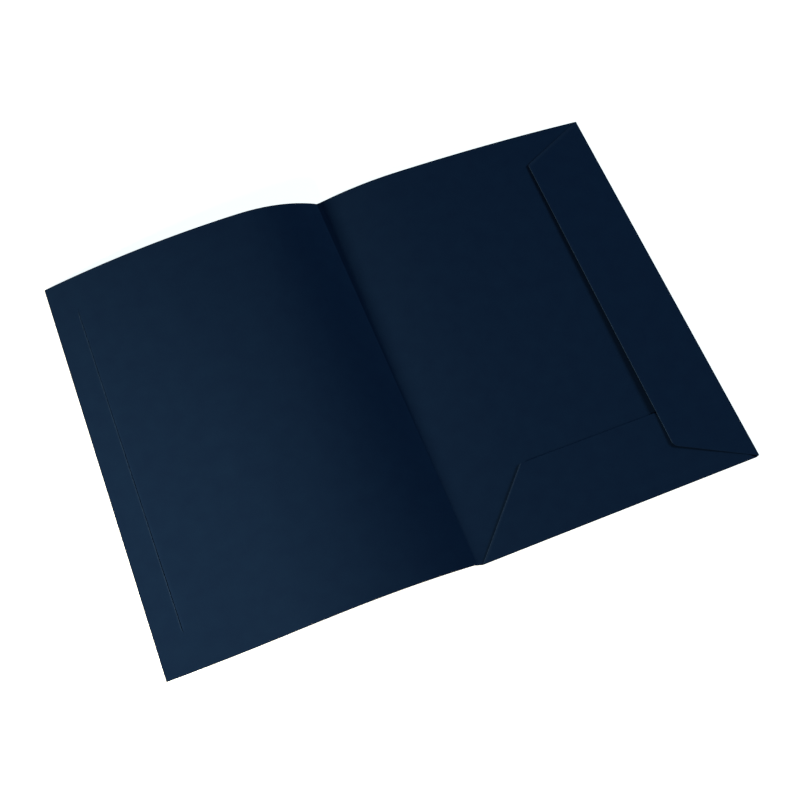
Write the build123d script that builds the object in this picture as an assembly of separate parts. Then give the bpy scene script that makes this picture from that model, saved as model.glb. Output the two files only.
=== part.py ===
"""A document folder of stiff card, lying open on a table with its inside up.

The folder is one die-cut sheet, creased into a front cover, a narrow spine, a back cover and two flaps
that fold in over the back cover. Each panel between two creases is a solid of its own, and so is each
crease. The creases spring a little, so the covers arch up beside the spine.

Millimetres. X runs from the front cover to the back cover, Y up the page and Z up from the table.
The origin is the middle of the spine's underside.
"""
from build123d import *
import os
from math import atan2, cos, degrees, sin, sqrt

# Card and creases
CARD = 0.45                    # thickness of the card
CREASE_SETBACK = CARD          # from a spine crease's axis to the panel on either side of it
BOTTOM_FOLD_INSIDE = 0.2       # inside radius of the bottom flap's fold
SIDE_FOLD_INSIDE = 0.45        # wider, because the side flap closes over the bottom flap
FLAP_CLEARANCE = 0.1           # between a flap's hinged edge and its fold, as the flap swings
PANEL_CLEARANCE = 0.05         # between the back cover and its two folds

# Panels
FOLDER_HEIGHT = 310.0          # along the spine
SPINE_WIDTH = 6.0              # between the two spine creases
FRONT_WIDTH = 220.0            # along the card, from the front crease to the cut edge
BACK_WIDTH = 220.0             # from the back crease to the outside of the side fold
FRONT_TRIM = 1.5               # the front cover is cut this much shorter at its lower edge

# Arch of the covers: where an edge crests, measured from its crease, and how high it rises there
FRONT_TOP_CREST = 61.0
FRONT_TOP_RISE = 21.0
FRONT_FOOT_CREST = 86.0
FRONT_FOOT_RISE = 16.5
FRONT_FOOT_DIP = 92.0          # from the crest of the lower edge on to its shallow dip
FRONT_FOOT_SAG = 4.2           # how far the dip lies below that crest
BACK_TOP_CREST = 61.0
BACK_TOP_RISE = 9.4            # the back cover's lower edge stays straight, held by its fold

# Tuck slit in the front cover
SLIT_INSET = 19.3              # from the cut edge
SLIT_WIDTH = 0.5
SLIT_TOP_END = 31.8            # from the top edge to where the slit starts to curve
SLIT_TOP_RADIUS = 10.0
SLIT_TOP_TURN = 30.0           # degrees that its upper end curves towards the spine
SLIT_FOOT_END = 29.4           # from the lower edge to where it starts to curve
SLIT_FOOT_RADIUS = 5.0
SLIT_FOOT_TURN = 60.0          # degrees that its lower end curves towards the spine

# Flaps
SIDE_FLAP_WIDTH = 56.0
SIDE_FLAP_TOP_INSET = 0.9      # from the top edge to where its upper end starts, at the fold
SIDE_FLAP_TOP_TAPER = 27.5     # how far its upper end slopes down over that width
SIDE_FLAP_FOOT_TAPER = 28.6    # how far its lower end slopes up over that width
SIDE_FLAP_TOP_CORNER = 3.0     # radius of its upper free corner
SIDE_FLAP_FOOT_CORNER = 6.0    # radius of its lower free corner
SIDE_FLAP_SPRING = 0.3         # degrees that it stands off the back cover's arch and the bottom flap
BOTTOM_FLAP_HEIGHT = 56.5
BOTTOM_FLAP_TAPER = 53.2       # how far its spine end slopes in over that height
BOTTOM_FLAP_OUTER_TAPER = 53.5  # how far its outer end slopes in, under the side flap
BOTTOM_FLAP_CORNER = 2.5       # radius of its free corners
BOTTOM_FLAP_INSET = 3.0        # from the side fold to the foot of its outer end
BOTTOM_FLAP_SPRING = 0.25      # degrees that it stands off the back cover's arch

# Places that several pieces share
TOP = FOLDER_HEIGHT / 2
FOOT = -FOLDER_HEIGHT / 2
FRONT_FOOT = FOOT + FRONT_TRIM
CREASE_X = SPINE_WIDTH / 2
BOTTOM_FOLD_OUTSIDE = BOTTOM_FOLD_INSIDE + CARD
BOTTOM_FOLD_Y = FOOT + BOTTOM_FOLD_OUTSIDE
SIDE_FOLD_OUTSIDE = SIDE_FOLD_INSIDE + CARD
SIDE_FOLD_X = CREASE_X + BACK_WIDTH - SIDE_FOLD_OUTSIDE
BACK_FOOT = BOTTOM_FOLD_Y + PANEL_CLEARANCE
BACK_REACH = SIDE_FOLD_X - PANEL_CLEARANCE - CREASE_X


def arc_length(run, turn):
    """Length of an arc with one level end, from its horizontal run and the angle that it turns."""
    return run * turn / sin(turn)


def turn_along(length, drop):
    """Angle that card of a given length turns as it curves away from level by a drop."""
    ratio = 2 * drop / length
    return ratio * (1 + ratio ** 2 / 12)


def front_top_profile():
    """From the crease up to the crest, then down to the table at the cut edge in one long arc."""
    rise = 2 * atan2(FRONT_TOP_RISE, FRONT_TOP_CREST)
    near = arc_length(FRONT_TOP_CREST, rise)
    half = (FRONT_WIDTH - near) / 2
    fall = turn_along(2 * half, FRONT_TOP_RISE)
    return [(near, rise, 0.0), (half, 0.0, -fall / 2), (half, -fall / 2, -fall)]


def front_foot_profile():
    """From the crease up to the crest, down to the dip, and up again to the cut edge."""
    rise = 2 * atan2(FRONT_FOOT_RISE, FRONT_FOOT_CREST)
    near = arc_length(FRONT_FOOT_CREST, rise)
    fall = 2 * atan2(FRONT_FOOT_SAG, FRONT_FOOT_DIP)
    middle = arc_length(FRONT_FOOT_DIP / 2, fall)
    far = FRONT_WIDTH - near - middle
    return [(near, rise, 0.0), (middle, 0.0, -fall), (far, -fall, fall * (far / middle - 1))]


def back_top_profile():
    """From the crease up to the crest, then down to the side fold."""
    rise = 2 * atan2(BACK_TOP_RISE, BACK_TOP_CREST)
    fall_run = BACK_REACH - BACK_TOP_CREST
    fall = 2 * atan2(BACK_TOP_RISE, fall_run)
    return [(arc_length(BACK_TOP_CREST, rise), rise, 0.0), (arc_length(fall_run, fall), 0.0, -fall)]


def back_foot_profile():
    """Straight along the bottom fold, in two stretches that match those of the top edge."""
    return [(BACK_TOP_CREST, 0.0, 0.0), (BACK_REACH - BACK_TOP_CREST, 0.0, 0.0)]


def along(profile, distance):
    """The middle of the card at a distance from its crease: across, up, and slope in radians."""
    across = 0.0
    up = 0.0
    slope = 0.0
    for length, first, last in profile:
        run = min(distance, length)
        bend = (last - first) / length
        slope = first + bend * run
        if bend == 0:
            across += run * cos(first)
            up += run * sin(first)
        else:
            across += (sin(slope) - sin(first)) / bend
            up += (cos(first) - cos(slope)) / bend
        distance -= run
        if distance <= 0:
            break
    return across, up, slope


def edge_outline(profile, side, y):
    """Outline of a cover's cross-section at one height on the page. Side is -1 in front, 1 behind."""

    def point(distance, offset):
        across, up, slope = along(profile, distance)
        x = side * (CREASE_X + across - offset * sin(slope))
        return (x, y, CARD / 2 + up + offset * cos(slope))

    def stretch(start, stop, offset):
        if along(profile, start)[2] == along(profile, stop)[2]:
            return Line(point(start, offset), point(stop, offset))
        return ThreePointArc(point(start, offset), point((start + stop) / 2, offset), point(stop, offset))

    ends = [CREASE_SETBACK]
    width = 0.0
    for length, first, last in profile:
        width += length
        ends.append(width)
    spans = list(zip(ends, ends[1:]))
    under = [stretch(start, stop, -CARD / 2) for start, stop in spans]
    over = [stretch(stop, start, CARD / 2) for start, stop in reversed(spans)]
    outer_end = Line(point(width, -CARD / 2), point(width, CARD / 2))
    crease_end = Line(point(CREASE_SETBACK, CARD / 2), point(CREASE_SETBACK, -CARD / 2))
    return Wire([*under, outer_end, *over, crease_end])


def slit_cutter():
    """A thin wall along the tuck slit: straight beside the cut edge, with both ends curved inwards."""
    place = FRONT_WIDTH - SLIT_INSET
    foot = Vector(-CREASE_X - along(front_foot_profile(), place)[0], FRONT_FOOT)
    top = Vector(-CREASE_X - along(front_top_profile(), place)[0], TOP)
    up_the_slit = (top - foot).normalized()
    first = foot + up_the_slit * SLIT_FOOT_END
    last = top - up_the_slit * SLIT_TOP_END
    path = [
        Line(first, last),
        JernArc(last, up_the_slit, SLIT_TOP_RADIUS, -SLIT_TOP_TURN),
        JernArc(first, -up_the_slit, SLIT_FOOT_RADIUS, SLIT_FOOT_TURN),
    ]
    return extrude(trace(path, SLIT_WIDTH), FRONT_TOP_RISE + FRONT_FOOT_RISE)


def front_cover():
    outlines = [
        edge_outline(front_foot_profile(), -1, FRONT_FOOT),
        edge_outline(front_top_profile(), -1, TOP),
    ]
    return Solid.make_loft(outlines, True) - slit_cutter()


def back_cover():
    outlines = [
        edge_outline(back_foot_profile(), 1, BACK_FOOT),
        edge_outline(back_top_profile(), 1, TOP),
    ]
    return Solid.make_loft(outlines, True)


def spine():
    """The strip between the spine creases. Its lower edge steps down from the front cover to the back."""
    x = CREASE_X - CREASE_SETBACK
    outline = Polyline((-x, FRONT_FOOT), (x, FOOT), (x, TOP), (-x, TOP), close=True)
    return extrude(make_face(outline), CARD)


def crease(x, foot):
    """The bead of a spine crease, as thick as the card, on the crease's axis."""
    plane = Plane((x, foot, CARD / 2), x_dir=(1, 0, 0), z_dir=(0, 1, 0))
    return extrude(plane * Circle(CARD / 2), TOP - foot)


def fold_outline(inside, lift):
    """Cross-section of a folded edge, open towards +X: half a ring, short of it by the flap's lift."""
    outside = inside + CARD
    half_plane = Pos(-outside, 0) * Rectangle(2 * outside, 4 * outside)
    return (Circle(outside) - Circle(inside)) & half_plane & (Rot(0, 0, lift) * half_plane)


def hinge_setback(inside):
    """How far a flap stays from its fold's axis, so that it swings clear of the fold."""
    return sqrt((inside + CARD) ** 2 - inside ** 2) + FLAP_CLEARANCE


def side_flap_top_lift():
    """Degrees that the side flap rises from the table at the top, over the back cover's arch."""
    top_edge = back_top_profile()
    card_to_free_edge = sum(length for length, first, last in top_edge) - SIDE_FLAP_WIDTH
    return degrees(atan2(along(top_edge, card_to_free_edge)[1], SIDE_FLAP_WIDTH)) + SIDE_FLAP_SPRING


def bottom_flap_lift():
    """Degrees that the bottom flap rises from the table, over the back cover's arch."""
    return degrees(atan2(BACK_TOP_RISE, TOP - BACK_FOOT)) + BOTTOM_FLAP_SPRING


def side_flap_foot_lift():
    """Degrees that the side flap rises from the table at the foot, over the bottom flap."""
    return bottom_flap_lift() + SIDE_FLAP_SPRING


def side_fold():
    plane = Plane((SIDE_FOLD_X, BACK_FOOT, SIDE_FOLD_OUTSIDE), x_dir=(-1, 0, 0), z_dir=(0, 1, 0))
    return extrude(plane * fold_outline(SIDE_FOLD_INSIDE, side_flap_top_lift()), TOP - BACK_FOOT)


def bottom_fold():
    start = CREASE_X + CREASE_SETBACK
    stop = CREASE_X + BACK_REACH
    plane = Plane((start, BOTTOM_FOLD_Y, BOTTOM_FOLD_OUTSIDE), x_dir=(0, 1, 0), z_dir=(1, 0, 0))
    return extrude(plane * fold_outline(BOTTOM_FOLD_INSIDE, bottom_flap_lift()), stop - start)


def side_flap_section(lift, y):
    """Outline of the side flap's card at one height on the page, running on past its free edge."""
    hinge = hinge_setback(SIDE_FOLD_INSIDE)
    reach = SIDE_FLAP_WIDTH + SIDE_FOLD_OUTSIDE
    plane = Plane((SIDE_FOLD_X, y, SIDE_FOLD_OUTSIDE), x_dir=(-1, 0, 0), z_dir=(0, 1, 0))
    card = Pos((hinge + reach) / 2, SIDE_FOLD_INSIDE + CARD / 2) * Rectangle(reach - hinge, CARD)
    return (plane * Rot(0, 0, lift) * card).wire()


def side_flap():
    """Card that twists up from the bottom flap to the arch, with sloping ends and rounded corners."""
    sections = [
        side_flap_section(side_flap_foot_lift(), BACK_FOOT),
        side_flap_section(side_flap_top_lift(), TOP),
    ]
    free_foot = Vector(SIDE_FOLD_X - SIDE_FLAP_WIDTH, BACK_FOOT + SIDE_FLAP_FOOT_TAPER)
    hinge_top = Vector(SIDE_FOLD_X, TOP - SIDE_FLAP_TOP_INSET)
    free_top = hinge_top - Vector(SIDE_FLAP_WIDTH, SIDE_FLAP_TOP_TAPER)
    outline = Polyline((SIDE_FOLD_X, BACK_FOOT), hinge_top, free_top, free_foot, close=True)
    face = make_face(outline)
    face = fillet(face.vertices().sort_by_distance(free_foot)[0], SIDE_FLAP_FOOT_CORNER)
    face = fillet(face.vertices().sort_by_distance(free_top)[0], SIDE_FLAP_TOP_CORNER)
    return Solid.make_loft(sections, True) & extrude(face, SIDE_FLAP_WIDTH)


def bottom_flap():
    """Sloping ends, the outer one under the side flap. Drawn flat, then lifted about its fold."""
    hinge = hinge_setback(BOTTOM_FOLD_INSIDE)
    spine_end = CREASE_X + CREASE_SETBACK
    spine_slope = BOTTOM_FLAP_TAPER / BOTTOM_FLAP_HEIGHT
    outer_end = SIDE_FOLD_X - BOTTOM_FLAP_INSET
    outer_slope = BOTTOM_FLAP_OUTER_TAPER / BOTTOM_FLAP_HEIGHT
    free_spine = Vector(spine_end + BOTTOM_FLAP_TAPER, BOTTOM_FLAP_HEIGHT)
    free_outer = Vector(outer_end - BOTTOM_FLAP_OUTER_TAPER, BOTTOM_FLAP_HEIGHT)
    hinge_spine = Vector(spine_end + spine_slope * hinge, hinge)
    hinge_outer = Vector(outer_end - outer_slope * hinge, hinge)
    face = make_face(Polyline(hinge_spine, hinge_outer, free_outer, free_spine, close=True))
    face = fillet(face.vertices().sort_by_distance(free_spine)[0], BOTTOM_FLAP_CORNER)
    face = fillet(face.vertices().sort_by_distance(free_outer)[0], BOTTOM_FLAP_CORNER)
    flat = extrude(Pos(0, 0, BOTTOM_FOLD_INSIDE) * face, CARD)
    return Pos(0, BOTTOM_FOLD_Y, BOTTOM_FOLD_OUTSIDE) * Rot(bottom_flap_lift(), 0, 0) * flat


PIECES = {
    "front_cover": front_cover(),
    "front_crease": crease(-CREASE_X, FRONT_FOOT),
    "spine": spine(),
    "back_crease": crease(CREASE_X, FOOT),
    "back_cover": back_cover(),
    "bottom_fold": bottom_fold(),
    "bottom_flap": bottom_flap(),
    "side_fold": side_fold(),
    "side_flap": side_flap(),
}

os.makedirs("parts", exist_ok=True)
for name, piece in PIECES.items():
    export_step(piece, f"parts/{name}.step")
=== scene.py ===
# %% [markdown]
# A document folder of dark navy card, lying open with its inside up. The real one is a single
# die-cut sheet: creased twice for the spine, and folded over at the foot and at the outer edge of the
# back cover for the two flaps that hold papers. The imported solids give the places. Here
# each stretch of card becomes a fine curved surface with rounded cut edges, and gets the look of card.

# %% Load the frame
import math

import bpy
import numpy as np
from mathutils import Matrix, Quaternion, Vector


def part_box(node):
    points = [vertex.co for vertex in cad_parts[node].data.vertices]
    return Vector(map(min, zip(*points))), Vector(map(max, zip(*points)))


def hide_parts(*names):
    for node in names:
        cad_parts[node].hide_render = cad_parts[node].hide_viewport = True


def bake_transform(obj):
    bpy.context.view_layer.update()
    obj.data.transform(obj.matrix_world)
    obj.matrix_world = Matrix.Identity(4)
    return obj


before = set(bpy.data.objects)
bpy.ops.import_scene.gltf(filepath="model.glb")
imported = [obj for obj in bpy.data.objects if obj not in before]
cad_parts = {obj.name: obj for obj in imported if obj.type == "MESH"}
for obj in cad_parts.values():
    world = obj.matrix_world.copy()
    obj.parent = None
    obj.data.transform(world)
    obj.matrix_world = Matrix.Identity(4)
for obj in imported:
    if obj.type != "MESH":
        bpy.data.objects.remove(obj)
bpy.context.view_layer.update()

MM = 0.001
print("solids in the frame:", ", ".join(sorted(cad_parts)))

# %% [markdown]
# What the frame can tell is read from it: the thickness of the card, the ends of the spine, the two
# crease lines and the outside of the folds. The arch of a cover can't be read from a box, so the few
# sizes that shape it are written here, in millimetres. Heights are measured at an edge's crest.

# %% Sizes of the sheet
spine_low, spine_high = (np.array(corner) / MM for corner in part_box("spine"))
CARD = spine_high[2] - spine_low[2]
TOP = spine_high[1]
FOOT = spine_low[1]
FRONT_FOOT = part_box("front_crease")[0].y / MM
CREASE_X = (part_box("back_crease")[0].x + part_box("back_crease")[1].x) / 2 / MM

FRONT_WIDTH = 220.0        # along the card, from the front crease to the cut edge
FRONT_TOP_CREST = 61.0     # from the crease to the crest of the top edge
FRONT_TOP_RISE = 21.0
FRONT_FOOT_CREST = 86.0
FRONT_FOOT_RISE = 16.5
FRONT_FOOT_DIP = 92.0      # from the crest of the lower edge on to its shallow dip
FRONT_FOOT_SAG = 4.2
BACK_TOP_CREST = 61.0
BACK_TOP_RISE = 9.4
SIDE_FOLD_INSIDE = 0.45    # inside radius of the fold beside the side flap
BOTTOM_FOLD_INSIDE = 0.2
SIDE_FOLD_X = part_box("side_fold")[1].x / MM - SIDE_FOLD_INSIDE - CARD
BOTTOM_FOLD_Y = FOOT + BOTTOM_FOLD_INSIDE + CARD
print(f"card {CARD:.2f} mm thick, creases at {CREASE_X:.1f} mm, side fold at {SIDE_FOLD_X:.1f} mm")

# %% [markdown]
# A card edge that springs up from its crease is close to a chain of arcs: its slope changes evenly from
# one break to the next. So the edge is drawn by adding up small steps, across by the cosine of the slope
# and up by its sine. A spline through points would also do, but here each number means something.

# %% The line of a cover's edge
JOIN = 1.8                 # the front and the back sheet meet this far beyond the spine's middle
SHIFT_TOP = 1.4            # the front crease has set this far inside its joint, towards the middle
SHIFT_FOOT = 2.4
CRISP_BEND = 0.5           # the card takes this far to bend, on either side of a crease line
SOFT_BEND = 0.7            # and this far at the foot, where the crease is a little softer
SHIFT_BACK = 2.2           # the back crease has set inside its joint too
BACK_BEND = 2 * CREASE_X - SHIFT_BACK - SHIFT_TOP - CRISP_BEND    # and is soft up to the front one
LINE_POINTS = 30001


def edge_line(start, shift, bend, first_slope, stretches, start_slope=0.0, start_up=0.0):
    """Middle of the card along one edge, from its start on the spine outwards.

    The spine levels out from its start, the crease bends the card up to the first slope, and in each
    stretch, given as (length, last slope), the slope changes evenly. The crease lies a shift short of the
    joint. Returns a function from distances along the card, measured from the joint, to how far those
    points lie from the spine's middle, and how far up.
    """
    ends = np.cumsum([length for length, last in stretches]) - shift
    lasts = [last for length, last in stretches]
    after_bend = first_slope + (lasts[0] - first_slope) * bend / (ends[0] + shift)
    breaks = [start, -shift - bend, -shift + bend, *ends]
    distance = np.linspace(breaks[0], breaks[-1], LINE_POINTS)
    slope = np.interp(distance, breaks, [start_slope, 0.0, after_bend, *lasts])
    slope = (slope[1:] + slope[:-1]) / 2
    across = CREASE_X + start + np.append(0.0, np.cumsum(np.cos(slope) * np.diff(distance)))
    up = start_up + np.append(0.0, np.cumsum(np.sin(slope) * np.diff(distance)))

    def at(places):
        return np.interp(places, distance, across), np.interp(places, distance, up)

    return at


def rise_to_crest(crest, rise):
    """Arc from a crease up to a level crest: its length and its slope at the crease."""
    slope = 2 * math.atan2(rise, crest)
    return crest * slope / math.sin(slope), slope


back_run = SIDE_FOLD_X - CREASE_X
near_back, slope_back = rise_to_crest(BACK_TOP_CREST + SHIFT_BACK, BACK_TOP_RISE)
far_back, fall_back = rise_to_crest(back_run - BACK_TOP_CREST, BACK_TOP_RISE)
beside_front = SHIFT_TOP - 2 * CREASE_X
back_stretches = [(near_back, 0.0), (far_back, -fall_back)]
back_top = edge_line(beside_front, SHIFT_BACK, BACK_BEND, slope_back, back_stretches)
back_foot = edge_line(beside_front, SHIFT_BACK, BACK_BEND, 0.0, [(back_run + SHIFT_BACK, 0.0)])
back_start = JOIN - CREASE_X
join_up = back_top(back_start)[1]
bent_share = (back_start + SHIFT_BACK + BACK_BEND) / (2 * BACK_BEND)
join_slope = slope_back * (1 - BACK_BEND / near_back) * bent_share

front_start = -CREASE_X - JOIN
near_top, slope_top = rise_to_crest(FRONT_TOP_CREST + SHIFT_TOP, FRONT_TOP_RISE)
far_top = FRONT_WIDTH + SHIFT_TOP - near_top
fall_ratio = 2 * FRONT_TOP_RISE / far_top
fall_top = fall_ratio * (1 + fall_ratio ** 2 / 12)
top_stretches = [(near_top, 0.0), (far_top, -fall_top)]
front_top = edge_line(front_start, SHIFT_TOP, CRISP_BEND, slope_top, top_stretches, -join_slope, join_up)

near_foot, slope_foot = rise_to_crest(FRONT_FOOT_CREST + SHIFT_FOOT, FRONT_FOOT_RISE)
sag_foot, fall_foot = rise_to_crest(FRONT_FOOT_DIP / 2, FRONT_FOOT_SAG / 2)
far_foot = FRONT_WIDTH + SHIFT_FOOT - near_foot - sag_foot
upturn = fall_foot * (far_foot / sag_foot - 1)
foot_stretches = [(near_foot, 0.0), (sag_foot, -fall_foot), (far_foot, upturn)]
front_foot = edge_line(front_start, SHIFT_FOOT, SOFT_BEND, slope_foot, foot_stretches)
print(f"covers leave the spine at {math.degrees(slope_top):.0f} and {math.degrees(slope_back):.0f} degrees")

# %% [markdown]
# Every piece of card is made the same way. A grid of points is the middle of the card, and a second grid
# says how thick it is there. The two faces lie half a thickness either side. At a cut edge the thickness
# runs out in a quarter circle on each side, so the edge is softly rounded, as a die leaves it. Where the
# sheet only runs on into the next piece, it keeps its thickness and is closed by a plain strip of faces.
# A Solidify modifier would give square edges everywhere, and a Bevel after it would groove the joins.

# %% Turning a grid into card
EDGE_STEPS = CARD / 2 * np.array([0.0, 0.1, 0.35, 0.7, 1.0, 1.4])


def stations(start, stop, step, cut_start=True, cut_stop=True):
    """Places from start to stop about a step apart, with close ones beside each cut end."""
    places = np.linspace(start, stop, max(2, round((stop - start) / step) + 1))
    if cut_start:
        places = np.append(places, start + EDGE_STEPS)
    if cut_stop:
        places = np.append(places, stop - EDGE_STEPS)
    return np.unique(places.round(6))


def rounded(distance):
    """Share of the full thickness at a distance from a cut edge: a quarter circle, then 1."""
    short = 1 - np.clip(distance / (CARD / 2), 0, 1)
    return np.sqrt(1 - short ** 2)


def quads(index):
    """The faces of a grid of point numbers, wound so that they face along columns x rows."""
    corners = [index[:-1, :-1], index[:-1, 1:], index[1:, 1:], index[1:, :-1]]
    return np.stack(corners, axis=-1).reshape(-1, 4)


def make_card(name, middle, share, sheet, wear_and_highlight, slit_column=None):
    """Closes card around a grid of middle points, and returns its object.

    The normal is the cross product of the grid's two directions. The faces lie half the card's thickness,
    times share, along it and against it. Points that coincide are welded, and faces that this closes up
    are left out. sheet is each point's place on the flat sheet, kept as a UV map. The grid after it says
    how pale the card's rim is there: partly rubbed, partly a painted highlight. No faces are made between
    slit_column and the next one.
    """
    across = np.gradient(middle, axis=1)
    along = np.gradient(middle, axis=0)
    normal = np.cross(across, along)
    normal /= np.linalg.norm(normal, axis=-1, keepdims=True)
    offset = normal * (share * CARD / 2)[..., None]
    points = np.concatenate([(middle + offset).reshape(-1, 3), (middle - offset).reshape(-1, 3)])
    welded, first, new_index = np.unique(points.round(5), axis=0, return_index=True, return_inverse=True)
    over = new_index.ravel()[: share.size].reshape(share.shape)
    under = new_index.ravel()[share.size:].reshape(share.shape)

    blocks = [(0, None)] if slit_column is None else [(0, slit_column + 1), (slit_column + 1, None)]
    faces = [quads(over[:, a:b]) for a, b in blocks]
    faces += [quads(under[:, a:b])[:, ::-1] for a, b in blocks]
    borders = [(over[:, 0], under[:, 0]), (under[:, -1], over[:, -1])]
    borders += [(under[0], over[0]), (over[-1], under[-1])]
    faces += [quads(np.stack(pair)) for pair in borders]
    faces = np.concatenate(faces)
    repeated = faces == np.roll(faces, -1, axis=1)
    lost = repeated.sum(axis=1)
    triangles = faces[lost == 1][~repeated[lost == 1]].reshape(-1, 3)

    mesh = bpy.data.meshes.new(name)
    mesh.from_pydata(welded * MM, [], faces[lost == 0].tolist() + triangles.tolist())
    corner = np.empty(len(mesh.loops), dtype=np.int32)
    mesh.loops.foreach_get("vertex_index", corner)
    place = np.concatenate([sheet.reshape(-1, 2)] * 2)[first] * MM
    mesh.uv_layers.new(name="sheet").data.foreach_set("uv", place[corner].astype(np.float32).ravel())
    rubbed_and_lit = np.concatenate([wear_and_highlight.ravel()] * 2)[first]
    mesh.attributes.new("wear_and_highlight", "FLOAT", "POINT").data.foreach_set("value", rubbed_and_lit.astype(np.float32))
    mesh.shade_smooth()
    mesh.set_sharp_from_angle(angle=math.radians(50))
    piece = bpy.data.objects.new(name, mesh)
    bpy.context.scene.collection.objects.link(piece)
    print(f"{name}: {len(mesh.vertices)} points, {len(mesh.polygons)} faces")
    return piece


# %% [markdown]
# The front cover runs from the spine, over the front crease, to its cut edge. Straight lines join its
# arched lower edge to its arched top edge, as card that bends one way only has straight lines in it. The
# crease was scored with a rule, which pressed the card thinner. The groove shows as a thin dark line, and
# fades towards the foot, where the card bends less sharply. The card has set a little nearer to the
# spine's middle than the joint, so the visible bend is drawn there. Spine, crease and cover
# are one grid, so that the card stays whole when the cover turns. The slit is cut through the same grid:
# its outer lip stands a little proud and its inner lip lies low, so that it catches light and shadow.

# %% Places across a creased cover
SCORE_DEPTH = 0.28         # the rule that scored the crease has pressed the card this much thinner
SCORE_COVER_SIDE = 1.5     # the groove runs out over this far on the side of the cover
SCORE_SPINE_SIDE = 0.6
CREASE_STEPS = np.linspace(-1.2, 1.2, 25)
SET_STEPS = np.linspace(-2.3, 2.3, 47) - SHIFT_FOOT
COVER_STEP = 3.0
SLIT_INSET = 19.3          # from the cut edge
SLIT_GAP = 0.1             # half the width of the cut
SLIT_TOP_END = 31.8        # from the top edge to where the slit starts to curve
SLIT_TOP_RADIUS = 10.0
SLIT_TOP_TURN = math.radians(30)
SLIT_FOOT_END = 29.4       # from the lower edge to where it starts to curve
SLIT_FOOT_RADIUS = 5.0
SLIT_FOOT_TURN = math.radians(60)
SLIT_LIFT = 0.2            # the outer lip of the cut stands this much proud
SLIT_CURL = 0.3            # over about this far from the cut
SLIT_DIP = 0.4             # and the inner lip this much low
SLIT_DIP_CURL = 0.5
SLIT_SHARP = 3.0           # its edges are rounded to this much smaller a radius than the outer ones
PALE_RIM_REACH = 0.2           # the paler rim of a cut edge, part rubbing and part painted highlight, fades over this far


def score(distance, up_the_page):
    """Depth of the groove on the inside. It dies away beside the crease, and towards the foot."""
    reach = np.where(distance > 0, SCORE_COVER_SIDE, SCORE_SPINE_SIDE)
    return SCORE_DEPTH * np.sqrt(up_the_page) * np.exp(-np.abs(distance) / reach)


def hook(into, radius, rise):
    """How far a curved end of the slit has turned aside, at a distance into it: the arc of a circle."""
    into = np.clip(into, 0, rise)
    return radius - np.sqrt(radius ** 2 - into ** 2)


def lower_edge(distance, side):
    """Where the card ends at the foot. It steps down in a slant over the spine, from front to back."""
    x = side * (CREASE_X + distance)
    start = CREASE_X - CARD
    return np.interp(x, [-start, start], [FRONT_FOOT, FOOT])


# %% The front cover
slit = FRONT_WIDTH - SLIT_INSET
foot_breaks = np.array([-SHIFT_FOOT, near_foot - SHIFT_FOOT, near_foot + sag_foot - SHIFT_FOOT])
foot_breaks = np.concatenate([[front_start], foot_breaks, [FRONT_WIDTH]])
top_breaks = np.array([-SHIFT_TOP, near_top - SHIFT_TOP, near_top + far_top / 2 - SHIFT_TOP])
top_breaks = np.concatenate([[front_start], top_breaks, [FRONT_WIDTH]])
slit_at_top = np.interp(slit, top_breaks, foot_breaks)

beside_slit = np.append(EDGE_STEPS / SLIT_SHARP, SLIT_CURL * np.array([0.5, 1.0, 2.0, 4.0]))
inner = np.union1d(stations(front_start, slit, COVER_STEP, False, False), slit - beside_slit)
inner = np.union1d(inner, np.append(CREASE_STEPS, SET_STEPS))
outer = np.union1d(stations(slit, FRONT_WIDTH, COVER_STEP, cut_start=False), slit + beside_slit)
columns = np.concatenate([inner, outer])
slit_column = len(inner) - 1
beyond = np.concatenate([-np.ones(len(inner)), np.ones(len(outer))])

foot_rise = SLIT_FOOT_RADIUS * math.sin(SLIT_FOOT_TURN)
top_rise = SLIT_TOP_RADIUS * math.sin(SLIT_TOP_TURN)
slit_low = FRONT_FOOT + SLIT_FOOT_END - foot_rise
slit_high = TOP - SLIT_TOP_END + top_rise
hook_rows = np.linspace(0, 6.0, 25)
rows = np.concatenate([stations(FRONT_FOOT, TOP, 4.0), slit_low + hook_rows, slit_high - hook_rows])
past_rows = EDGE_STEPS / SLIT_SHARP
rows = np.unique(np.append(rows, [slit_low - past_rows, slit_high + past_rows]).round(6))
t = ((rows - FRONT_FOOT) / (TOP - FRONT_FOOT))[:, None]

past_end = np.maximum(0, np.maximum(slit_low - rows, rows - slit_high))
inside_slit = np.clip(np.minimum(rows - slit_low, slit_high - rows), 0, None)
open_share = np.sqrt(np.clip(inside_slit / 4.0, 0, 1))
lip_share = np.clip((inside_slit - 1.0) / 4.0, 0, 1)

path = slit + (slit_at_top - slit) * t[:, 0]
path -= hook(slit_low + foot_rise - rows, SLIT_FOOT_RADIUS, foot_rise)
path -= hook(rows - slit_high + top_rise, SLIT_TOP_RADIUS, top_rise)
follow = np.interp(columns, [slit - 20, slit, FRONT_WIDTH], [0, 1, 0])
place = columns + follow * (path - slit)[:, None]
place += np.where(np.isclose(columns, slit), beyond * SLIT_GAP, 0) * open_share[:, None]

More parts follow.
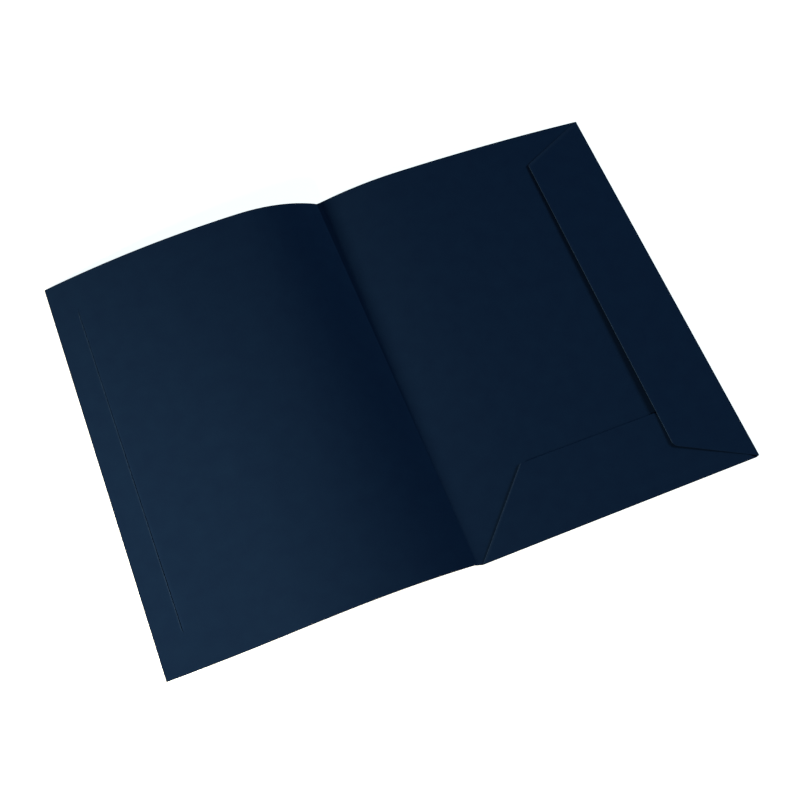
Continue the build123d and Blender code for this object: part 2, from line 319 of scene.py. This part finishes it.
foot_across, foot_up = front_foot(place)
top_across, top_up = front_top(np.interp(place, foot_breaks, top_breaks))
low = lower_edge(place, -1)
y = low + (TOP - low) * t
from_slit = np.abs(columns - slit) + 0 * t
lift = SLIT_LIFT * np.exp(-from_slit / SLIT_CURL)
dip = SLIT_DIP * np.exp(-from_slit / SLIT_DIP_CURL)
lip = np.where(beyond > 0, lift, -dip) * lip_share[:, None]
groove = score(place + SHIFT_FOOT, t)
x = -(foot_across + (top_across - foot_across) * t)
z = CARD / 2 + foot_up + (top_up - foot_up) * t - groove / 2 + lip
to_cut = np.minimum(np.minimum(y - low, TOP - y), FRONT_WIDTH - place)
to_slit = np.hypot(from_slit, past_end[:, None])
share = rounded(to_cut) * rounded(to_slit * SLIT_SHARP) * (1 - groove / CARD)
# painted highlight, with some rubbing: the slit's outer lip, which curls up towards the low left lamp, gets
# the paler rim
wear_and_highlight = np.exp(-to_slit / PALE_RIM_REACH) * (beyond > 0) * lip_share[:, None]
sheet = np.stack([-CREASE_X - place, y], axis=-1)
front_panel = make_card("front_panel", np.stack([x, y, z], axis=-1), share, sheet, wear_and_highlight, slit_column)
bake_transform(front_panel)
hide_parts("front_cover", "front_crease")

# %% [markdown]
# The back cover starts on the spine too, where both covers have the same height and slope, so the join
# can't show. Its lower edge is held straight by the bottom fold, and its top edge springs up a little,
# from a crease that has gone soft. At the foot and at the outer edge the card isn't cut: it runs on into
# the folds.

# %% The back cover
foot_breaks = [back_start, 0.0, BACK_TOP_CREST, back_run]
top_breaks = [back_start, 0.0, near_back - SHIFT_BACK, near_back + far_back - SHIFT_BACK]
soft_steps = np.linspace(back_start, BACK_BEND, 46)
place = np.union1d(stations(back_start, back_run, COVER_STEP, False, False), soft_steps)
place = np.union1d(place, [CARD, CARD + 0.01])[None, :]
rows = stations(FOOT, TOP, 4.0)
t = ((rows - FOOT) / (TOP - FOOT))[:, None]
foot_across, foot_up = back_foot(place)
top_across, top_up = back_top(np.interp(place, foot_breaks, top_breaks))
low = np.where(place > CARD, BOTTOM_FOLD_Y, lower_edge(place, 1))
y = low + (TOP - low) * t
x = foot_across + (top_across - foot_across) * t
z = CARD / 2 + foot_up + (top_up - foot_up) * t
to_cut = np.where(place > CARD, TOP - y, np.minimum(TOP - y, y - low))
wear_and_highlight = 0 * to_cut
sheet = np.stack([CREASE_X + place + 0 * t, y], axis=-1)
back_panel = make_card("back_panel", np.stack([x, y, z], axis=-1), rounded(to_cut), sheet, wear_and_highlight)
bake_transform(back_panel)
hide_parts("back_cover", "back_crease", "spine")

# %% [markdown]
# A flap and its fold are one grid. Across the fold the card turns over in a half circle, then runs flat
# to the free edge. The sloping ends are where the rows of the grid start and stop, and the free corners
# are circles that the ends run into. The bottom fold has opened slightly at the spine, where nothing
# holds it, so its half circle is larger there.

# %% Outline of a flap's end
CORNER_STEPS = np.sin(np.linspace(0, np.pi / 2, 9))
ROLL_STEPS = np.linspace(0, 1, 13)


def flap_end(reach, width, taper, radius):
    """How far a flap's end has sloped in at a reach from its fold: a straight line, then a rounded corner.

    The corner is a circle that touches the sloping end and the free edge, so its middle lies one radius
    back from the free edge, and the end leaves the line where the circle touches it.
    """
    slope = math.atan2(taper, width)
    touch = radius * math.tan((math.pi / 2 - slope) / 2)
    middle = taper + touch
    circle = middle - np.sqrt(np.clip(radius ** 2 - (reach - width + radius) ** 2, 0, None))
    line = taper / width * np.maximum(reach, 0)
    return np.where(reach > width - touch * math.cos(slope), circle, line)


def flap_reaches(width, radius):
    """Reaches from the fold to the free edge, closer together round the corners and at the cut."""
    round_the_corner = width - radius + radius * CORNER_STEPS
    return np.unique(np.append(stations(0.0, width, COVER_STEP, cut_start=False), round_the_corner).round(6))


# %% The side flap
SIDE_FLAP_WIDTH = SIDE_FOLD_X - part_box("side_flap")[0].x / MM
SIDE_FLAP_TOP_INSET = 0.9                # its upper end starts this far below the top edge
SIDE_FLAP_TOP_TAPER = 27.5
SIDE_FLAP_FOOT_TAPER = 28.6
SIDE_FLAP_TOP_CORNER = 3.0
SIDE_FLAP_FOOT_CORNER = 6.0
SIDE_FLAP_SPRING = math.radians(0.4)     # the flap stands this far off what lies under it
BOTTOM_FLAP_SPRING = math.radians(0.6)
bottom_lift = math.atan2(BACK_TOP_RISE, TOP - BOTTOM_FOLD_Y) + BOTTOM_FLAP_SPRING
arch_under_flap = back_top(near_back + far_back - SHIFT_BACK - SIDE_FLAP_WIDTH)[1]
lift_at_top = math.atan2(arch_under_flap, SIDE_FLAP_WIDTH) + SIDE_FLAP_SPRING
lift_at_foot = bottom_lift + SIDE_FLAP_SPRING

side_radius = SIDE_FOLD_INSIDE + CARD / 2
side_axis_z = SIDE_FOLD_INSIDE + CARD
reach = flap_reaches(SIDE_FLAP_WIDTH, SIDE_FLAP_FOOT_CORNER)
reach = np.append(np.zeros(len(ROLL_STEPS)), reach[1:])[None, :]
rolled = np.append(ROLL_STEPS, np.ones(reach.size - len(ROLL_STEPS)))[None, :]
low = BOTTOM_FOLD_Y + flap_end(reach, SIDE_FLAP_WIDTH, SIDE_FLAP_FOOT_TAPER, SIDE_FLAP_FOOT_CORNER)
high = TOP - SIDE_FLAP_TOP_INSET * rolled
high = high - flap_end(reach, SIDE_FLAP_WIDTH, SIDE_FLAP_TOP_TAPER, SIDE_FLAP_TOP_CORNER)
t = stations(0.0, TOP - BOTTOM_FOLD_Y, 4.0)[:, None] / (TOP - BOTTOM_FOLD_Y)
y = low + (high - low) * t
lift = lift_at_foot + (lift_at_top - lift_at_foot) * (y - BOTTOM_FOLD_Y) / (TOP - BOTTOM_FOLD_Y)
turn = -np.pi / 2 + rolled * (np.pi - lift)
run = np.where(reach > 0, (reach + side_radius * np.sin(lift)) / np.cos(lift), 0)
x = SIDE_FOLD_X + side_radius * np.cos(turn) - run * np.cos(lift)
z = side_axis_z + side_radius * np.sin(turn) + run * np.sin(lift)
to_handled = np.minimum(high - y, SIDE_FLAP_WIDTH - reach)
to_cut = np.minimum(y - low, to_handled)
# painted highlight, with some rubbing: the paler rim on the free edge and the upper end, which face the low
# left lamp
wear_and_highlight = np.exp(-to_handled / PALE_RIM_REACH)
sheet_x = SIDE_FOLD_X + rolled * np.pi * side_radius + run
sheet = np.stack([sheet_x, y], axis=-1)
side_piece = make_card("side_flap_and_fold", np.stack([x, y, z], axis=-1), rounded(to_cut), sheet, wear_and_highlight)
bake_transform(side_piece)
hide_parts("side_flap", "side_fold")

# %% The bottom flap
BOTTOM_FLAP_HEIGHT = 56.5
BOTTOM_FLAP_TAPER = 53.2                 # its spine end slopes in this far
BOTTOM_FLAP_OUTER_TAPER = 53.5           # and its outer end this far
BOTTOM_FLAP_CORNER = 2.5
BOTTOM_FLAP_INSET = 3.0                  # its outer end is cut this far short of the side fold
BOTTOM_FOLD_LOOSE = 0.2                  # the fold has opened by this much at the spine
BOTTOM_FLAP_TWIST = math.radians(1.0)    # and the flap stands this much steeper there
BOTTOM_FOLD_EASE = 60.0                  # both die away about this far along the fold
reach = flap_reaches(BOTTOM_FLAP_HEIGHT, BOTTOM_FLAP_CORNER)
reach = np.append(np.zeros(len(ROLL_STEPS)), reach[1:])[:, None]
rolled = np.append(ROLL_STEPS, np.ones(reach.size - len(ROLL_STEPS)))[:, None]
left = CREASE_X + CARD + flap_end(reach, BOTTOM_FLAP_HEIGHT, BOTTOM_FLAP_TAPER, BOTTOM_FLAP_CORNER)
right = SIDE_FOLD_X - BOTTOM_FLAP_INSET * rolled
right = right - flap_end(reach, BOTTOM_FLAP_HEIGHT, BOTTOM_FLAP_OUTER_TAPER, BOTTOM_FLAP_CORNER)
length = SIDE_FOLD_X - CREASE_X - CARD
t = stations(0.0, length, COVER_STEP)[None, :] / length
x = left + (right - left) * t
eased = np.exp(-(x - CREASE_X) / BOTTOM_FOLD_EASE)
radius = BOTTOM_FOLD_INSIDE + CARD / 2 + BOTTOM_FOLD_LOOSE * eased
lift = bottom_lift + BOTTOM_FLAP_TWIST * eased
turn = -np.pi / 2 + rolled * (np.pi - lift)
y = BOTTOM_FOLD_Y - radius * np.cos(turn) + reach * np.cos(lift)
z = CARD / 2 + radius * (1 + np.sin(turn)) + reach * np.sin(lift)
to_cut = np.minimum(np.minimum(x - left, right - x), BOTTOM_FLAP_HEIGHT - reach)
# painted highlight, with some rubbing: the paler rim lies on the spine end only, which faces the low left
# lamp; the free edge gets none
wear_and_highlight = np.exp(-(x - left) / PALE_RIM_REACH)
sheet_y = BOTTOM_FOLD_Y - rolled * np.pi * radius - reach
sheet = np.stack([x, sheet_y], axis=-1)
bottom_piece = make_card("bottom_flap_and_fold", np.stack([x, y, z], axis=-1), rounded(to_cut), sheet, wear_and_highlight)
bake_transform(bottom_piece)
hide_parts("bottom_flap", "bottom_fold")

# %% [markdown]
# The card is dyed in the pulp, so its colour goes right through. Uncoated and pressed between felts, it
# is matt, with a faint cloudy formation a centimetre or so across and a fine tooth of fibres. Cut edges
# that hands and papers slide over are rubbed a little paler. That pale rim is also a painted highlight,
# laid where the edges catch the low left lamp. One material serves the whole sheet. Its
# patterns follow the sheet's own UV map, so they bend with the card.

# %% Helpers for the material


def linear(hex_colour):
    """Linear colour with alpha from an sRGB hex value."""
    srgb = np.array([int(hex_colour[i:i + 2], 16) for i in (1, 3, 5)]) / 255
    value = np.where(srgb <= 0.04045, srgb / 12.92, ((srgb + 0.055) / 1.055) ** 2.4)
    return (*value.tolist(), 1.0)


def add_node(tree, kind, links=(), sockets=(), **settings):
    """Adds a node with its settings, its constant sockets and its links, and returns it."""
    node = tree.nodes.new(kind)
    for name, value in settings.items():
        setattr(node, name, value)
    for name, value in dict(sockets).items():
        node.inputs[name].default_value = value
    for name, output in dict(links).items():
        tree.links.new(output, node.inputs[name])
    return node


def per_metre(size):
    """Noise scale whose patches are about a size in millimetres across."""
    return 1 / (size * MM)


# %% Dyed card
NAVY_DEEP = "#0d1c33"
NAVY_PALE = "#0f2037"
# the paler rim colour stands partly for rubbing and partly for a painted highlight where edges catch the low
# left lamp
NAVY_RUBBED_AND_LIT = "#34465c"
FORMATION = 12.0           # cloudy patches left by the pulp
FIBRE = 0.9                # real fibres are a third of this, too fine to show in the render
TOOTH = 0.02               # height of the felt's print

card = bpy.data.materials.new("dyed_card_uncoated")
card.use_nodes = True
tree = card.node_tree
tree.nodes.clear()
flat = add_node(tree, "ShaderNodeUVMap", uv_map="sheet").outputs["UV"]
cloud = add_node(
    tree, "ShaderNodeTexNoise", {"Vector": flat},
    {"Scale": per_metre(FORMATION), "Detail": 3.0, "Roughness": 0.55},
).outputs["Fac"]
grain = add_node(tree, "ShaderNodeMapping", {"Vector": flat}, {"Scale": (1.0, 0.4, 1.0)}).outputs["Vector"]
fibre = add_node(
    tree, "ShaderNodeTexNoise", {"Vector": grain},
    {"Scale": per_metre(FIBRE), "Detail": 2.0, "Roughness": 0.6},
).outputs["Fac"]
blend = add_node(
    tree, "ShaderNodeMix", {"A": cloud, "B": fibre}, {"Factor": 0.4}, data_type="FLOAT",
).outputs["Result"]
spread = add_node(
    tree, "ShaderNodeMapRange", {"Value": blend}, {"From Min": 0.3, "From Max": 0.7},
).outputs["Result"]
dye = add_node(tree, "ShaderNodeMix", {"Factor": spread}, data_type="RGBA")
dye.inputs[6].default_value = linear(NAVY_DEEP)
dye.inputs[7].default_value = linear(NAVY_PALE)
# painted highlight, with some rubbing: the rim of the cut edges is mixed towards a paler navy, where the low
# left lamp catches them
wear_and_highlight_here = add_node(tree, "ShaderNodeAttribute", attribute_name="wear_and_highlight").outputs["Fac"]
patchy = add_node(
    tree, "ShaderNodeMath", {0: wear_and_highlight_here, 1: fibre}, operation="MULTIPLY",
).outputs["Value"]
rubbed_and_lit = add_node(tree, "ShaderNodeMix", {"Factor": patchy, 6: dye.outputs[2]}, data_type="RGBA")
rubbed_and_lit.inputs[7].default_value = linear(NAVY_RUBBED_AND_LIT)
rough = add_node(
    tree, "ShaderNodeMapRange", {"Value": fibre}, {"To Min": 0.7, "To Max": 0.86},
).outputs["Result"]
tooth = add_node(
    tree, "ShaderNodeBump", {"Height": fibre}, {"Strength": 0.5, "Distance": TOOTH * MM},
).outputs["Normal"]
surface = add_node(
    tree, "ShaderNodeBsdfPrincipled",
    {"Base Color": rubbed_and_lit.outputs[2], "Roughness": rough, "Normal": tooth},
    {"Specular IOR Level": 0.01},
)
add_node(tree, "ShaderNodeOutputMaterial", {"Surface": surface.outputs["BSDF"]})

for piece in (front_panel, back_panel, side_piece, bottom_piece):
    piece.data.materials.append(card)
print("material:", card.name, "with", len(tree.nodes), "nodes")

# %% [markdown]
# The folder lies on a plain white floor. The camera looks straight at a floor that is lit like the
# object, so it would come out pale grey. A little light of its own, for the camera only, lifts it to
# white, and the folder's soft shadow still shows on it. Far off, where the lamps no longer reach, that
# light is all there is, so it grows with the distance and the floor runs out into the white around it.

# %% Floor and world
FLOOR_SIZE = 12.0
FLOOR_DROP = 0.05
FLOOR_LIFT = 0.75          # light that only the camera and mirrors see, close to the folder
LIFT_GROWS = (0.4, 1.2)    # it grows to full white between these distances, in metres
WORLD_LIGHT = 0.06


def seen_directly(tree):
    """1 for rays from the camera, from a mirror or through glass, and 0 for rays that light things."""
    ray = add_node(tree, "ShaderNodeLightPath").outputs
    mirror = add_node(
        tree, "ShaderNodeMath", {0: ray["Is Camera Ray"], 1: ray["Is Glossy Ray"]}, operation="MAXIMUM",
    ).outputs["Value"]
    glass = {0: mirror, 1: ray["Is Transmission Ray"]}
    return add_node(tree, "ShaderNodeMath", glass, operation="MAXIMUM").outputs["Value"]


bpy.ops.mesh.primitive_plane_add(size=FLOOR_SIZE, location=(0, 0, -FLOOR_DROP * MM))
floor = bpy.context.object
floor.name = "floor"
paper_white = bpy.data.materials.new("white_floor")
paper_white.use_nodes = True
tree = paper_white.node_tree
tree.nodes.clear()
from_folder = add_node(
    tree, "ShaderNodeVectorMath", {0: add_node(tree, "ShaderNodeTexCoord").outputs["Object"]},
    operation="LENGTH",
).outputs["Value"]
own_light = add_node(
    tree, "ShaderNodeMapRange", {"Value": from_folder},
    {"From Min": LIFT_GROWS[0], "From Max": LIFT_GROWS[1], "To Min": FLOOR_LIFT, "To Max": 1.0},
).outputs["Result"]
lift_light = add_node(
    tree, "ShaderNodeMath", {0: seen_directly(tree), 1: own_light}, operation="MULTIPLY",
).outputs["Value"]
surface = add_node(
    tree, "ShaderNodeBsdfPrincipled", {"Emission Strength": lift_light},
    {"Base Color": linear("#ebebeb"), "Roughness": 0.9, "Specular IOR Level": 0.1,
     "Emission Color": (1.0, 1.0, 1.0, 1.0)},
)
add_node(tree, "ShaderNodeOutputMaterial", {"Surface": surface.outputs["BSDF"]})
floor.data.materials.append(paper_white)

world = bpy.data.worlds.new("studio")
bpy.context.scene.world = world
world.use_nodes = True
tree = world.node_tree
tree.nodes.clear()
sky = add_node(
    tree, "ShaderNodeBackground", sockets={"Color": (0.4, 1.0, 1.8, 1.0), "Strength": WORLD_LIGHT},
).outputs["Background"]
white = add_node(tree, "ShaderNodeBackground", sockets={"Color": (1.0, 1.0, 1.0, 1.0)}).outputs["Background"]
either = add_node(tree, "ShaderNodeMixShader", {0: seen_directly(tree), 1: sky, 2: white})
add_node(tree, "ShaderNodeOutputWorld", {"Surface": either.outputs["Shader"]})

# %% [markdown]
# Two lamps light the folder. A small warm one stands low and close on the left: it reaches the outer half
# of the front cover first, fades towards the back cover, and doesn't reach into the spine. A cooler one
# stands further off on the right. It lights the slope that dips into the spine, and the flaps cast its
# narrow shadow on the back cover, which is what sets their edges off.

# %% Lamps


def add_lamp(name, place, size, power, colour):
    """A square lamp that faces the middle of the folder, and that the camera itself doesn't see."""
    lamp = bpy.data.lights.new(name, "AREA")
    lamp.size = size
    lamp.energy = power
    lamp.color = colour
    holder = bpy.data.objects.new(name, lamp)
    holder.location = place
    holder.rotation_mode = "QUATERNION"
    holder.rotation_quaternion = (-Vector(place)).to_track_quat("-Z", "Y")
    holder.visible_camera = False
    bpy.context.scene.collection.objects.link(holder)
    print(f"{name}: {power} W, {Vector(place).length:.2f} m from the folder")


add_lamp("low_lamp_left", (-0.62, -0.22, 0.222), 0.12, 10.0, (1.0, 0.86, 0.61))
add_lamp("lamp_right", (1.741, -0.122, 1.339), 0.8, 27.3, (0.77, 1.0, 1.0))

# %% Camera
CAMERA_PLACE = Vector((-169.4, -307.7, 782.9)) * MM
CAMERA_AIM = Vector((-3.6, -20.7, 0.0)) * MM
CAMERA_ROLL = math.radians(8.33)
CAMERA_LENS = 52.755       # on a sensor 36 mm wide

camera = bpy.data.objects.new("camera", bpy.data.cameras.new("camera"))
camera.data.sensor_width = 36.0
camera.data.lens = CAMERA_LENS
camera.location = CAMERA_PLACE
camera.rotation_mode = "QUATERNION"
level = (CAMERA_AIM - CAMERA_PLACE).to_track_quat("-Z", "Y")
camera.rotation_quaternion = level @ Quaternion((0, 0, 1), CAMERA_ROLL)
bpy.context.scene.collection.objects.link(camera)
bpy.context.scene.camera = camera
bpy.context.scene.view_settings.view_transform = "Standard"
